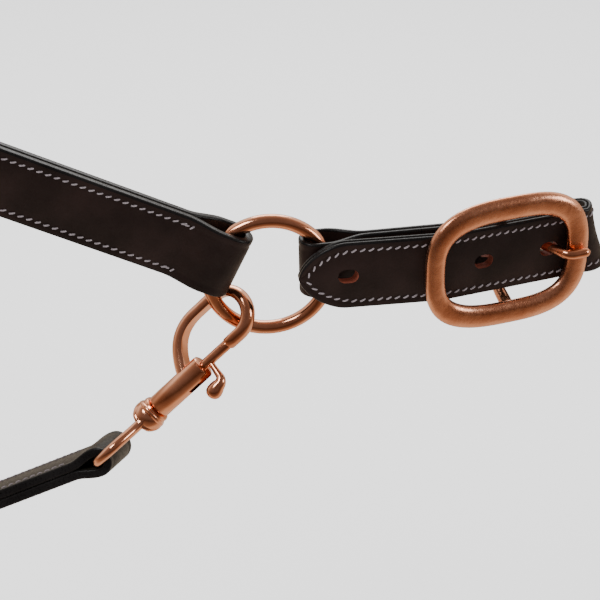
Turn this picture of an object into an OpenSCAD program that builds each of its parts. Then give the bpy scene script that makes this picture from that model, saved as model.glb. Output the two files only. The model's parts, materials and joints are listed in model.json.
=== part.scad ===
// Chest junction of a martingale: one ring joins a stitched neck strap, a buckled strap and
// a strap with a swivelling bolt snap.
// Frame: millimetres. The origin is the ring's centre, the ring lies in the XZ plane,
// the show side faces -Y and +Z is up.

/* [Ring] */
// Inner diameter of the ring
ring_inner = 38; // [36:0.5:40]
// Thickness of the ring's wire
ring_wire = 5; // [4.6:0.1:5]

/* [Neck strap] */
// Width of the neck strap
neck_width = 24; // [20:0.5:24]
// Thickness of each of its two layers
neck_layer = 3.2; // [2.6:0.1:3.2]
// Length from the ring's centre to the middle of the far loop
neck_length = 150; // [110:5:220]
// Rise of the strap away from the ring, in degrees
neck_rise = 25.15; // [24:0.05:27]

/* [Chape] */
// Width of the chape that holds the buckle
chape_width = 21.6; // [19:0.2:21.6]
// Thickness of each of its two layers
chape_layer = 2; // [1.6:0.1:2]

/* [Billet] */
// Width of the billet
billet_width = 26; // [22:0.5:26]
// Thickness of each of its two layers
billet_layer = 1.8; // [1.4:0.1:1.8]
// Length of the tail behind the buckle
tail_length = 46; // [30:1:60]

/* [Buckle] */
// Length of the buckle frame
buckle_length = 59; // [57:0.5:61]
// Height of the buckle frame
buckle_height = 51; // [49:0.5:53]
// Thickness of the frame's section
frame_thickness = 5; // [4.5:0.1:5]
// Yaw of the buckle against the ring's plane, in degrees
buckle_yaw = 13; // [12:0.5:14]

/* [Bolt snap] */
// Direction of the snap from its eye to its hook, in degrees above +X
snap_rise = 44.3; // [42:0.1:46]
// Turn of the hook's plane about the snap's length, in degrees
hook_turn = 47; // [46:0.5:49]
// Outer diameter of the barrel
barrel_d = 9; // [8.6:0.1:10]
// Diameter of the sliding bolt
bolt_d = 3.9; // [3.6:0.1:4]
// Travel of the bolt
bolt_travel = 9; // [6:0.5:9]

/* [Snap strap] */
// Width of the snap strap
snap_strap_width = 24.5; // [20:0.5:25]
// Thickness of each of its two layers
snap_strap_layer = 3.4; // [2.6:0.1:3.4]
// Length from the eye's bar to the middle of the far loop
snap_strap_length = 96; // [80:2:160]

/* [Hidden] */
$fn = 64;
gap = 0.05;            // gap between pieces that lie against each other
leather = [0.15, 0.11, 0.1];
thread = [0.62, 0.57, 0.57];
copper = [0.8, 0.52, 0.4];

wire_r = ring_wire / 2;
ring_r = ring_inner / 2 + wire_r;

// Pockets of the folded straps: radius, straight part, and distance over which they close.
neck_pocket_r = 4.2;
neck_pocket_x = 18.6;
chape_pocket_r = 4.4;
chape_pocket_x = 17.3;
pocket_straight = 3.5;
pocket_close = 14;
turn_back = 48;        // length of the neck strap's turn-back behind the ring
end_loop_r = 5;        // radius of the sewn loop at each strap's far end
corner_cut = 4;        // the fold's corners are cut back beside the ring

// Stitching: pitch, length of one stitch, thread width, how far it stands proud, inset.
stitch_pitch = 3.1;
stitch_on = 2.3;
thread_w = 0.8;
stitch_proud = 0.3;
stitch_inset = 3;

// Buckle. Local X runs along the buckle, local -Y faces the show side, and the centre bar
// is the local Z axis.
bar_r = 2.1;
bar_x = 83.7;          // from the ring's centre to the centre bar, along the chape
bar_half = 15.6;
chape_middle = 55;     // where the chape's two ends meet
rail = 7.6;            // width of the frame's section
frame_corner = 15;     // centre-line radius of the frame's corners
chape_yaw = 2.4;       // turn of the chape away from the ring's plane
chape_rise = 1.2;      // rise of the chape away from the ring
chape_z = 2.9;         // height of the chape's middle at the ring
bar_pocket_r = bar_r + 0.1;
billet_back = bar_pocket_r + chape_layer + stitch_proud + gap;
billet_front = billet_back + 2 * billet_layer + gap;
frame_y = billet_front + stitch_proud + gap + frame_thickness / 2;
tongue_r = 1.8;
tongue_hole_x = 16;    // from the centre bar to the hole that the tongue uses
hole_r = 2.7;
hole_stretch = 1.8;
hole_pitch = 25.6;
bend_x = -25;          // where the billet bends, at the frame's near end
bend_turn = 12.6;      // turn of the billet at that bend
point_reach = 50;    // from the bend to the billet's tip
point_length = 15;
nose_r = 4;              // radius of the point's nose
tail_x = 31;           // where the billet turns back behind the frame's far end
tail_bend_r = 3;
tail_turn = 110;
tail_tilt = 17;

// Bolt snap. Local X runs along the bolt towards the hook, with 0 at the barrel's mouth,
// and local Z points from the bolt to the hook's back.
snap_angle = 226;      // where the hook sits on the ring
hook_r = 2.6;
hook_bend = 8.5;
hook_x = 18.2;
wire_at = [18.6, 8.25];
barrel_back = 24;
bore_back = 21.2;
bolt_back = 8;
bolt_tip = hook_x - 5.8;
stud_x = 2.7;
rivet_r = 2.2;
collar_r = 6;
collar_front = barrel_back + 0.1;
collar_back = 34;
head_r = 3.6;
eye_bar_x = -51.2;
eye_bar_r = 1.8;
eye_half = snap_strap_width / 2 + 2.4;
eye_turn = 63.7;
eye_pocket_r = eye_bar_r + 0.3;
strap_turn_back = 40;   // length of the snap strap's turn-back behind the eye
strap_drop = 19.7;     // angle between the snap's length and the snap strap

// Tongue: depth of its shank, radius and slope of its bends, and what follows from them.
tongue_low = 1.2;
tongue_high = frame_y + frame_thickness / 2 + tongue_r + gap;
tongue_bend = 4;
tongue_slope = 65;
tongue_steep = (tongue_high - tongue_low - 2 * tongue_bend * (1 - cos(tongue_slope)))
    / sin(tongue_slope);
tongue_run = 2 * tongue_bend * sin(tongue_slope) + tongue_steep * cos(tongue_slope);
tongue_start = tongue_hole_x + 1.2 - tongue_run / 2;
tongue_tip = buckle_length / 2 - 0.6;

// Back of the hook: where it leaves the straight, its radius and its turn.
back_x = 8;
back_bend = 14;
back_turn = 50;

// A stadium: two circles of radius r, their centres s apart, starting at the origin.
module stadium(r, s) {
    circle(r);
    translate([s, 0]) circle(r);
    translate([0, -r]) square([s, 2 * r]);
}

// A flat strip that follows a path: [x, y, heading] points become a closed outline that
// runs from one side distance to the other.
function strip(path, left, right) = concat(
    [for (p = path) [p.x - left * sin(p.z), p.y + left * cos(p.z)]],
    [for (i = [len(path) - 1 : -1 : 0]) let (p = path[i])
        [p.x - right * sin(p.z), p.y + right * cos(p.z)]]
);

// Points on an arc about [cx, cy], travelling anticlockwise.
function arc_path(cx, cy, r, from, to, steps) = [
    for (i = [0 : steps]) let (a = from + (to - from) * i / steps)
        [cx + r * cos(a), cy + r * sin(a), a + 90]
];

// Middle of a strap that comes in along +Y's side, folds round a pocket and goes back.
// The pocket has radius r, starts at x = c and runs straight for s, then closes.
function fold_path(front_end, c, r, s, close, t, back_end) = let (
    q = r + t / 2,
    h = (t + gap) / 2,
    meet = acos((q - h) / close)
) concat(
    [[front_end, h, 180], [c + s + close, h, 180 - (90 - meet) / 2]],
    arc_path(c + s, 0, q, meet, 90, 6),
    arc_path(c, 0, q, 90, 270, 24),
    arc_path(c + s, 0, q, 270, 360 - meet, 6),
    [[c + s + close, -h, 360 + (90 - meet) / 2], [back_end, -h, 360]]
);

// A folded strap, seen from its side.
module fold2d(front_end, c, r, s, close, t, back_end)
    polygon(strip(fold_path(front_end, c, r, s, close, t, back_end), t / 2, -t / 2));

// Closed loop at a strap's far end: the strap curls round an open bore.
module end_loop(x, t, width) translate([x, gap / 2 - end_loop_r, 0])
    cylinder(r = end_loop_r + t, h = width, center = true);

module end_loop_bore(x, width) translate([x, gap / 2 - end_loop_r, 0])
    cylinder(r = end_loop_r, h = width + 2, center = true);

// The round end of a fold's pocket, where the metal turns.
module pocket_bore(x, r, width) translate([x, 0, 0])
    cylinder(r = r + gap, h = width + 2, center = true);

// A seam: stitches on both faces of a strap, joined through its thickness.
module seam(length, front, back) {
    count = floor(length / stitch_pitch);
    top = [for (i = [0 : count - 1]) each [
        [i * stitch_pitch, front - 1],
        [i * stitch_pitch, front + stitch_proud],
        [i * stitch_pitch + stitch_on, front + stitch_proud],
        [i * stitch_pitch + stitch_on, front - 1]
    ]];
    bottom = [for (i = [count - 1 : -1 : 0]) each [
        [i * stitch_pitch + stitch_on, back + 1],
        [i * stitch_pitch + stitch_on, back - stitch_proud],
        [i * stitch_pitch, back - stitch_proud],
        [i * stitch_pitch, back + 1]
    ]];
    linear_extrude(thread_w, center = true) polygon(concat(top, bottom));
}

// Two seams, one along each edge of a strap of the given width.
module seam_pair(x, length, width, front, back) {
    for (side = [-1, 1])
        translate([x, 0, side * (width / 2 - stitch_inset)]) seam(length, front, back);
}

// O-ring

module o_ring() color(copper)
    rotate([90, 0, 0]) rotate_extrude($fn = 128) translate([ring_r, 0]) circle(wire_r);

// Neck strap. Local X runs away from the ring and local +Y faces the show side.

module neck_place() rotate([0, neck_rise, 0]) rotate([0, 0, 180]) children();

module neck_strap_outer() color(leather) neck_place() difference() {
    union() {
        linear_extrude(neck_width, center = true)
            fold2d(neck_length, neck_pocket_x, neck_pocket_r, pocket_straight, pocket_close,
                   neck_layer, neck_pocket_x + turn_back);
        end_loop(neck_length, neck_layer, neck_width);
    }
    end_loop_bore(neck_length, neck_width);
    pocket_bore(neck_pocket_x, neck_pocket_r, neck_width);
    for (side = [-1, 1])
        translate([neck_pocket_x - neck_pocket_r - neck_layer, 0, side * neck_width / 2])
            rotate([0, 45, 0]) cube([corner_cut, 30, corner_cut], center = true);
}

module neck_strap_lining() color(leather) neck_place() {
    start = neck_pocket_x + turn_back + gap;
    translate([start, -neck_layer - gap / 2, -neck_width / 2])
        cube([neck_length - end_loop_r - neck_layer - 1 - start, neck_layer, neck_width]);
}

module neck_strap_stitching() color(thread) neck_place() {
    start = neck_pocket_x + pocket_straight + pocket_close + 3;
    seam_pair(start, neck_length - 11 - start, neck_width, neck_layer, -neck_layer);
}

// Chape. Local X runs from the ring to the buckle's centre bar.

module chape_place()
    translate([0, 0, chape_z])
    rotate([0, -chape_rise, chape_yaw])
        children();

module chape() color(leather) chape_place() difference() {
    union() {
        linear_extrude(chape_width, center = true)
            fold2d(chape_middle + 0.5, chape_pocket_x, chape_pocket_r, pocket_straight,
                   pocket_close, chape_layer, chape_middle + 0.5);
        linear_extrude(chape_width, center = true) translate([bar_x, 0]) mirror([1, 0])
            fold2d(bar_x - chape_middle, 0, bar_pocket_r, 0.5, 8, chape_layer,
                   bar_x - chape_middle);
    }
    pocket_bore(chape_pocket_x, chape_pocket_r, chape_width);
    // slot for the tongue's knuckle
    translate([bar_x - 7, -10, -tongue_r - 0.5]) cube([20, 20, 2 * tongue_r + 1]);
}

module chape_stitching() color(thread) chape_place() {
    start = chape_pocket_x + pocket_straight + pocket_close + 2;
    seam_pair(start, bar_x - 10 - start, chape_width, chape_layer, -chape_layer);
}

// Buckle

module buckle_place()
    chape_place() translate([bar_x, 0, 0]) rotate([0, 0, buckle_yaw - chape_yaw]) children();

module rail2d() {
    flat = rail - frame_thickness;
    translate([-flat / 2, 0]) stadium(frame_thickness / 2, flat);
}

module frame_loop() {
    half_x = (buckle_length - rail) / 2 - frame_corner;
    half_z = (buckle_height - rail) / 2 - frame_corner;
    for (corner = [[1, 1, 0], [-1, 1, 90], [-1, -1, 180], [1, -1, 270]])
        translate([corner.x * half_x, 0, corner.y * half_z]) rotate([90, 0, 0])
            rotate([0, 0, corner.z]) rotate_extrude(angle = 90)
                translate([frame_corner, 0]) rail2d();
    for (side = [-1, 1]) {
        translate([side * (half_x + frame_corner), 0, -half_z])
            linear_extrude(2 * half_z) rail2d();
        translate([-half_x, 0, side * (half_z + frame_corner)]) rotate([90, 0, 90])
            linear_extrude(2 * half_x) rotate(90) rail2d();
    }
}

module buckle_frame() color(copper) buckle_place() {
    leg_z = (buckle_height - rail) / 2;
    leg_tilt = atan((leg_z - bar_half) / frame_y);
    translate([0, -frame_y, 0]) frame_loop();
    cylinder(r = bar_r, h = 2 * bar_half, center = true);
    for (side = [-1, 1])
        translate([0, 0, side * bar_half]) {
            sphere(bar_r + 0.4);
            rotate([90 - side * leg_tilt, 0, 0]) cylinder(r = bar_r, h = frame_y / cos(leg_tilt));
        }
}

// Tongue: knuckle on the centre bar, shank behind the billet, rise through the hole and
// a point that rests on the frame's far end.

// Points round an S: level, then down by the slope, then level again.
function tongue_path() = let (
    steps = 10,
    t = tongue_slope,
    b = tongue_bend,
    first = [for (i = [0 : steps]) let (a = t * i / steps)
        [tongue_start + b * sin(a), -tongue_low - b * (1 - cos(a)), -a]],
    last = [for (i = [0 : steps]) let (a = t * (1 - i / steps))
        [tongue_start + tongue_run - b * sin(a), -tongue_high + b * (1 - cos(a)), -a]]
) concat([[bar_r + 0.6, -tongue_low, 0]], first, last, [[tongue_tip, -tongue_high, 0]]);

module buckle_tongue() color(copper) buckle_place() {
    difference() {
        cylinder(r = bar_r + 1.9, h = 2 * tongue_r, center = true);
        cylinder(r = bar_r + 0.05, h = 10, center = true);
    }
    linear_extrude(2 * tongue_r, center = true) polygon(strip(tongue_path(), tongue_r, -tongue_r));
    translate([tongue_tip, -tongue_high, 0])
        cylinder(r = tongue_r + 0.1, h = 2 * tongue_r, center = true);
}

// Billet. It lies flat under the frame, bends at the near end towards its point, and turns
// back behind the frame's far end. Depths are measured from the centre bar's axis.

module billet_point_place() {
    translate([bend_x, -billet_back, 0]) rotate([0, 0, -bend_turn]) mirror([1, 0, 0]) children();
}

// A point beside the slanted crease: depth from the bend's centre, turn about the crease,
// place along the crease, and distance already gone along the tail.
function crease_point(depth, turn, t, gone) = let (
    slide = -turn * PI / 180 * tail_bend_r * tan(tail_tilt),
    x = depth * sin(turn) + gone * cos(tail_tilt) * cos(turn),
    y = -depth * cos(turn) + gone * cos(tail_tilt) * sin(turn),
    z = t + slide - gone * sin(tail_tilt)
) [
    tail_x + x * cos(tail_tilt) - z * sin(tail_tilt),
    tail_bend_r - billet_back + y,
    x * sin(tail_tilt) + z * cos(tail_tilt)
];

// Four corners of the layer across the tail. The two edges may have gone different lengths.
function crease_ring(from, to, turn, low_gone, high_gone) = let (
    half = billet_width / 2 / cos(tail_tilt),
    inner = tail_bend_r + from - billet_back,
    outer = tail_bend_r + to - billet_back
) [
    crease_point(inner, turn, -half, low_gone),
    crease_point(outer, turn, -half, low_gone),
    crease_point(outer, turn, half, high_gone),
    crease_point(inner, turn, half, high_gone)
];

// Four corners at a distance past the bend, with half the layer's width there.
function point_ring(from, to, distance, half, turn) = let (
    x = bend_x - distance * cos(bend_turn),
    y = -billet_back + distance * sin(bend_turn),
    inner = from - billet_back,
    outer = to - billet_back
) [
    [x - inner * sin(turn), y - inner * cos(turn), -half],
    [x - outer * sin(turn), y - outer * cos(turn), -half],
    [x - outer * sin(turn), y - outer * cos(turn), half],
    [x - inner * sin(turn), y - inner * cos(turn), half]
];

// One layer as a skin over its rings: the tail's square end, round the crease, flat under the
// frame, through a bend, and a point with a round nose.
function billet_rings(from, to) = let (
    half = billet_width / 2,
    slant = half * tan(tail_tilt),
    slope = atan((half - nose_r) / point_length),
    nose = point_reach - nose_r
) concat(
    [crease_ring(from, to, tail_turn, tail_length - slant, tail_length + slant)],
    [for (i = [8 : -1 : 0]) crease_ring(from, to, tail_turn * i / 8, 0, 0)],
    [point_ring(from, to, 0, half, bend_turn / 2)],
    [point_ring(from, to, nose - point_length, half, bend_turn)],
    [for (i = [0 : 6]) let (a = (90 - slope) * (1 - i / 7))
        point_ring(from, to, nose + nose_r * cos(a), nose_r * sin(a), bend_turn)]
);

module skin(rings) {
    last = 4 * (len(rings) - 1);
    sides = [for (i = [0 : len(rings) - 2]) for (k = [0 : 3]) let (
        a = 4 * i + k,
        b = 4 * i + (k + 1) % 4
    ) each [[a, a + 4, b], [b, a + 4, b + 4]]];
    ends = [[0, 1, 2], [0, 2, 3], [last, last + 2, last + 1], [last, last + 3, last + 2]];
    polyhedron([for (ring = rings) each ring], concat(sides, ends));
}

module billet_layer_solid(from, to) difference() {
    skin(billet_rings(from, to));
    for (x = [tongue_hole_x, tongue_hole_x - hole_pitch])
        billet_hole(x);
    billet_point_place() billet_hole(point_reach - 16);
}

module billet_hole(x) translate([x - hole_stretch / 2, 0, 0]) rotate([90, 0, 0])
    linear_extrude(60, center = true) stadium(hole_r, hole_stretch);

module billet_outer() color(leather) buckle_place()
    billet_layer_solid(billet_back + billet_layer + gap, billet_front);

module billet_lining() color(leather) buckle_place()
    billet_layer_solid(billet_back, billet_back + billet_layer);

module billet_stitching() color(thread) buckle_place() {
    seam_pair(bend_x + 6, tail_x - bend_x - 7, billet_width, -billet_back, -billet_front);
    billet_point_place() {
        reach = point_reach - point_length - 7;
        inner = billet_back - billet_front;
        seam_pair(6, reach - 6, billet_width, 0, inner);
        for (side = [-1, 1])
            translate([reach + 1, 0, side * (billet_width / 2 - stitch_inset)])
                rotate([0, side * 31, 0]) seam(14.5, 0, inner);
    }
}

// Bolt snap

module snap_place()
    translate([ring_r * cos(snap_angle), 0, ring_r * sin(snap_angle)])
    rotate([0, -snap_rise, 0])
    rotate([-hook_turn, 0, 0])
    translate([-wire_at.x, 0, -wire_at.y])
        children();

module x_rod(x1, x2, r) translate([x1, 0, 0]) rotate([0, 90, 0]) cylinder(r = r, h = x2 - x1);

module hook_arc(cx, cz, bend, from, turn)
    translate([cx, 0, cz]) rotate([90, 0, 0]) rotate([0, 0, from])
        rotate_extrude(angle = turn) translate([bend, 0]) circle(hook_r);

module hook_joint(x, z) translate([x, 0, z]) sphere(hook_r + 0.1);

module hook() {
    top = 2 * hook_bend;
    x_rod(bolt_tip, hook_x, hook_r);
    hook_joint(hook_x, 0);
    hook_arc(hook_x, hook_bend, hook_bend, -90, 180);
    hook_joint(hook_x, top);
    translate([0, 0, top]) x_rod(back_x, hook_x, hook_r);
    hook_joint(back_x, top);
    hook_arc(back_x, top - back_bend, back_bend, 90, back_turn);
    translate([back_x - back_bend * sin(back_turn), 0, top - back_bend * (1 - cos(back_turn))])
        {
            sphere(hook_r + 0.1);
            rotate([0, -90 - back_turn, 0]) cylinder(r = hook_r, h = 12);
        }
}

module snap_body() color(copper) snap_place() difference() {
    union() {
        x_rod(-barrel_back, 0, barrel_d / 2);
        hook();
    }
    x_rod(-bore_back, 0.5, bolt_d / 2 + 0.05);
    x_rod(-barrel_back - 1, -bore_back - 0.8, rivet_r);
    translate([-bolt_travel - 1, -1.5, -barrel_d]) cube([bolt_travel + 4, 3, barrel_d]);
}

module snap_bolt() color(copper) snap_place() difference() {
    x_rod(-bolt_back, bolt_tip - 0.05, bolt_d / 2);
    translate([stud_x, 0, -4]) cylinder(r = 1.2, h = 4);
}

// Thumb stud: a neck in the bolt that curls back to a rounded pad.
module thumb_stud() color(copper) snap_place() translate([stud_x, 0, 0]) {
    neck = 6.8;
    curl = 2.6;
    translate([0, 0, -4]) cylinder(r = 1.2, h = 4);
    rotate([90, 0, 0]) linear_extrude(2.4, center = true)
        polygon(strip(concat([[0, -3, 270]],
            [for (a = [0 : 15 : 90]) [-curl + curl * cos(a), -neck - curl * sin(a), 270 - a]],
            [[-curl - 3, -neck - curl, 180]]), 1.2, -1.2));
    translate([-curl - 2.6, 0, -neck - curl - 1]) rotate([90, 0, 0])
        cylinder(r = 3, h = 5.6, center = true);
}

module snap_spring() color(copper) snap_place() {
    turns = 7;
    wire = 0.3;
    coil_r = 1.35;
    translate([-bore_back + 0.1, 0, 0]) rotate([0, 90, 0])
        linear_extrude(bore_back - bolt_back - 0.2, twist = -360 * turns, slices = 14 * turns,
                       segments = 8, $fn = 8)
            translate([coil_r, 0]) circle(wire, $fn = 8);
}

module swivel_rivet() color(copper) snap_place() {
    x_rod(-collar_front - 5.5, -bore_back - 0.85, rivet_r);
    x_rod(-collar_front - 7, -collar_front - 5.5, head_r);
}

// Swivel eye: a collar that turns on the rivet, and a wide loop for the strap.

module eye_place()
    translate([ring_r * cos(snap_angle), 0, ring_r * sin(snap_angle)])
    rotate([0, -snap_rise, 0])
    rotate([-hook_turn, 0, 0])
    translate([-wire_at.x, 0, -wire_at.y])
    rotate([hook_turn + eye_turn, 0, 0])
        children();

// A round bar between two points in the XZ plane, with a ball at each end.
module bar_xz(x1, z1, x2, z2, r) {
    reach = sqrt(pow(x2 - x1, 2) + pow(z2 - z1, 2));
    translate([x1, 0, z1]) rotate([0, atan2(x2 - x1, z2 - z1), 0]) cylinder(r = r, h = reach);
    translate([x2, 0, z2]) sphere(r + 0.12);
}

module swivel_eye() color(copper) eye_place() difference() {
    union() {
        x_rod(-collar_back + 2.6, -collar_front, collar_r - 0.6);
        x_rod(-collar_front - 7.2, -collar_front - 2, collar_r);
        for (side = [-1, 1]) {
            bar_xz(-collar_back + 4, side * 4.4, eye_bar_x + 8, side * eye_half, 1.8);
            bar_xz(eye_bar_x + 8, side * eye_half, eye_bar_x, side * eye_half, 1.8);
        }
        bar_xz(eye_bar_x, -eye_half, eye_bar_x, eye_half, eye_bar_r);
    }
    x_rod(-collar_front - 5.4, 0, rivet_r + 0.06);
    x_rod(-collar_back - 4, -collar_front - 5.35, head_r + 0.2);
}

// Snap strap. Local X runs away from the eye's bar.

module snap_strap_place() eye_place() translate([eye_bar_x, 0, 0])
    rotate([0, 0, 180 - strap_drop]) children();

module snap_strap_outer() color(leather) snap_strap_place() difference() {
    union() {
        linear_extrude(snap_strap_width, center = true)
            fold2d(snap_strap_length, 0, eye_pocket_r, 0.5, 10, snap_strap_layer,
                   strap_turn_back);
        end_loop(snap_strap_length, snap_strap_layer, snap_strap_width);
    }
    end_loop_bore(snap_strap_length, snap_strap_width);
}

module snap_strap_lining() color(leather) snap_strap_place() {
    start = strap_turn_back + gap;
    translate([start, -snap_strap_layer - gap / 2, -snap_strap_width / 2])
        cube([snap_strap_length - end_loop_r - snap_strap_layer - 1 - start,
              snap_strap_layer, snap_strap_width]);
}

module snap_strap_stitching() color(thread) snap_strap_place()
    seam_pair(14, snap_strap_length - 25, snap_strap_width, snap_strap_layer,
              -snap_strap_layer);

o_ring();
neck_strap_outer();
neck_strap_lining();
neck_strap_stitching();
chape();
chape_stitching();
buckle_frame();
buckle_tongue();
billet_outer();
billet_lining();
billet_stitching();
snap_body();
snap_bolt();
thumb_stud();
snap_spring();
swivel_rivet();
swivel_eye();
snap_strap_outer();
snap_strap_lining();
snap_strap_stitching();
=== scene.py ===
"""Looks for the martingale's chest junction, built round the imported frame.

Shapes are drawn in local millimetres, in a frame that belongs to each strap or fitting, and the
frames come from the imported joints. A path point is (x, y, heading in degrees).
"""

import json
import math

import bmesh
import bpy
from mathutils import Matrix, Vector


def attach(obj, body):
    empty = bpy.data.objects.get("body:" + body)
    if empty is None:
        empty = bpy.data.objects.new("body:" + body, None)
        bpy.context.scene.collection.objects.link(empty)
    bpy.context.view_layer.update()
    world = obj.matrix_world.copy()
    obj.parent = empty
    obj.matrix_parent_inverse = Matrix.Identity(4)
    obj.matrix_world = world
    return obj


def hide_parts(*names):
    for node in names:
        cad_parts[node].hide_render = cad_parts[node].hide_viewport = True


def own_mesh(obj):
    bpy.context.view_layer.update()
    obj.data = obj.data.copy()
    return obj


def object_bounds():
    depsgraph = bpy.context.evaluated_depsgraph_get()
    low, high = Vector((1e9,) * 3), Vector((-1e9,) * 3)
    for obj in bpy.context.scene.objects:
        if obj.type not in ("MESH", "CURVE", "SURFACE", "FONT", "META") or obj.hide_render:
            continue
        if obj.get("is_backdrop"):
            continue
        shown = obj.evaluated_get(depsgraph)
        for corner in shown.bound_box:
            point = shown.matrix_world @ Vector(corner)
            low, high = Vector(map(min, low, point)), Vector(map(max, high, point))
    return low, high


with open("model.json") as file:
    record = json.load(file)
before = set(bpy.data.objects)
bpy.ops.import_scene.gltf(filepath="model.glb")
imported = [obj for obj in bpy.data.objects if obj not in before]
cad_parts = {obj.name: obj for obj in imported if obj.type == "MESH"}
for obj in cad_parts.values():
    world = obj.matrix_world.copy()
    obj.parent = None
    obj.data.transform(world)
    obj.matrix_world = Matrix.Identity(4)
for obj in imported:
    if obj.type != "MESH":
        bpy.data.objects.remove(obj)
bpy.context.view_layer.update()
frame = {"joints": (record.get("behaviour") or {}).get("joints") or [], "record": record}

MM = 0.001
JOINTS = {joint["name"]: joint for joint in frame["joints"]}

# Straps, in millimetres
NECK_WIDTH = 24.0
NECK_LAYER = 3.2
NECK_LENGTH = 150.0
NECK_TURN_BACK = 48.0
CHAPE_WIDTH = 21.6
CHAPE_LAYER = 2.0
BILLET_WIDTH = 26.0
BILLET_LAYER = 1.8
SNAP_STRAP_WIDTH = 24.5
SNAP_STRAP_LAYER = 3.4
SNAP_STRAP_LENGTH = 96.0
SNAP_STRAP_TURN_BACK = 40.0
END_LOOP_R = 5.0
GAP = 0.05
EDGE_ROUND = 0.8

# Stitches
PITCH = 3.1
STITCH_LENGTH = 2.2
THREAD_R = 0.33
PROUD = 0.3
INSET = 3.0
STITCH_SLANT = -0.5
STITCH_END_R = 0.22
SUNK = 0.15  # how far a stitch's middle line lies under the face

# Buckle
BUCKLE_YAW = 10.6
BAR_R = 2.1
BAR_POCKET_R = BAR_R + 0.1
BILLET_BACK = BAR_POCKET_R + CHAPE_LAYER + PROUD + GAP
BILLET_FRONT = BILLET_BACK + 2 * BILLET_LAYER + GAP
FRAME_THICKNESS = 5.0
FRAME_Y = -(BILLET_FRONT + PROUD + GAP + FRAME_THICKNESS / 2)
FRAME_LEFT = 4.0
FRAME_LENGTH = 59.0
FRAME_HEIGHT = 51.0

# Ring, to the middle of its wire
RING_R = 21.5
WIRE_R = 2.5

# Bolt snap: local X runs along the bolt from the barrel's mouth to the hook
HOOK_TURN = 47.0
HOOK_R = 2.6
HOOK_BEND = 8.5
HOOK_X = 18.2
WIRE_AT = (18.6, 8.25)
BARREL_R = 4.5
BOLT_R = 1.95
EYE_CLEARANCE = 2.4

# Direction from the object to the camera
CAMERA_BACK = (-0.0965, -0.8606, 0.5)


# ---------------------------------------------------------------- local frames


def basis(origin, along, up):
    """Matrix from local millimetres to the row's metres: X is along, Z is near up."""
    x = Vector(along).normalized()
    z = (Vector(up) - x * Vector(up).dot(x)).normalized()
    y = z.cross(x)
    turn = Matrix((x, y, z)).transposed().to_4x4()
    return Matrix.Translation(Vector(origin)) @ turn @ Matrix.Scale(MM, 4)


def turned(matrix, axis, degrees):
    return matrix @ Matrix.Rotation(math.radians(degrees), 4, axis)


def moved(matrix, x, y, z):
    return matrix @ Matrix.Translation((x, y, z))


def joint_place(name):
    return Vector(JOINTS[name]["pos_m"]), Vector(JOINTS[name]["axis"])


neck_fold, neck_up = joint_place("ring_swing")
chape_fold, chape_up = joint_place("chape_swing")
bar_place, bar_up = joint_place("buckle_pivot")
wire_place, wire_axis = joint_place("snap_swing")
eye_place, eye_up = joint_place("snap_strap_hinge")
bolt_axis = -Vector(JOINTS["bolt_slide"]["axis"])

NECK_FOLD_X = neck_fold.length / MM
CHAPE_LENGTH = (bar_place - chape_fold).length / MM

NECK = basis((0, 0, 0), neck_fold, neck_up)
CHAPE = basis(chape_fold, bar_place - chape_fold, chape_up)
BUCKLE = turned(basis(bar_place, bar_place - chape_fold, chape_up), "Z", BUCKLE_YAW)
SNAP = turned(basis(wire_place, bolt_axis, (0, 0, 1)), "X", -HOOK_TURN)
SNAP = moved(SNAP, -WIRE_AT[0], 0, -WIRE_AT[1])
snap_mouth = SNAP.translation
EYE = basis(snap_mouth, bolt_axis, eye_up)
EYE_BAR_X = (eye_place - snap_mouth).dot(bolt_axis) / MM
snap_strap_loop = Vector(
    next(m for m in frame["record"]["mounts"] if m["name"] == "snap_strap_end_loop")["pos_m"]
)


# ---------------------------------------------------------------- mesh building


class Shell:
    """Collects swept tubes, and becomes one mesh object."""

    def __init__(self):
        self.points = []
        self.faces = []
        self.slots = []

    def tube(self, rings, slot=lambda k: 0, closed=False):
        """Joins rings of equal length. slot(k) is the material of the band after point k."""
        count = len(rings[0])
        start = len(self.points)
        for ring in rings:
            self.points.extend(ring)
        spans = len(rings) if closed else len(rings) - 1
        for i in range(spans):
            a = start + i * count
            b = start + ((i + 1) % len(rings)) * count
            for k in range(count):
                m = (k + 1) % count
                self.faces.append((a + k, a + m, b + m, b + k))
                self.slots.append(slot(k))
        if not closed:
            self.faces.append(tuple(start + k for k in reversed(range(count))))
            self.faces.append(tuple(start + spans * count + k for k in range(count)))
            self.slots.extend((slot(0), slot(0)))

    def build(self, name, matrix, materials):
        mesh = bpy.data.meshes.new(name)
        mesh.from_pydata([matrix @ Vector(p) for p in self.points], [], self.faces)
        for material in materials:
            mesh.materials.append(material)
        for polygon, slot in zip(mesh.polygons, self.slots):
            polygon.material_index = slot
        mesh.update()
        piece = bpy.data.objects.new(name, mesh)
        bpy.context.scene.collection.objects.link(piece)
        fix_normals(piece)
        smooth(piece)
        return piece


def fix_normals(piece):
    """Makes every normal point outwards."""
    work = bmesh.new()
    work.from_mesh(piece.data)
    bmesh.ops.recalc_face_normals(work, faces=work.faces)
    work.to_mesh(piece.data)
    work.free()


def smooth(piece, degrees=40):
    """Smooth shading that keeps edges sharper than the given angle."""
    for polygon in piece.data.polygons:
        polygon.use_smooth = True
    piece.data.set_sharp_from_angle(angle=math.radians(degrees))


def apply_modifiers(piece):
    bpy.context.view_layer.update()
    graph = bpy.context.evaluated_depsgraph_get()
    mesh = bpy.data.meshes.new_from_object(piece.evaluated_get(graph))
    old = piece.data
    piece.modifiers.clear()
    piece.data = mesh
    bpy.data.meshes.remove(old)


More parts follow.
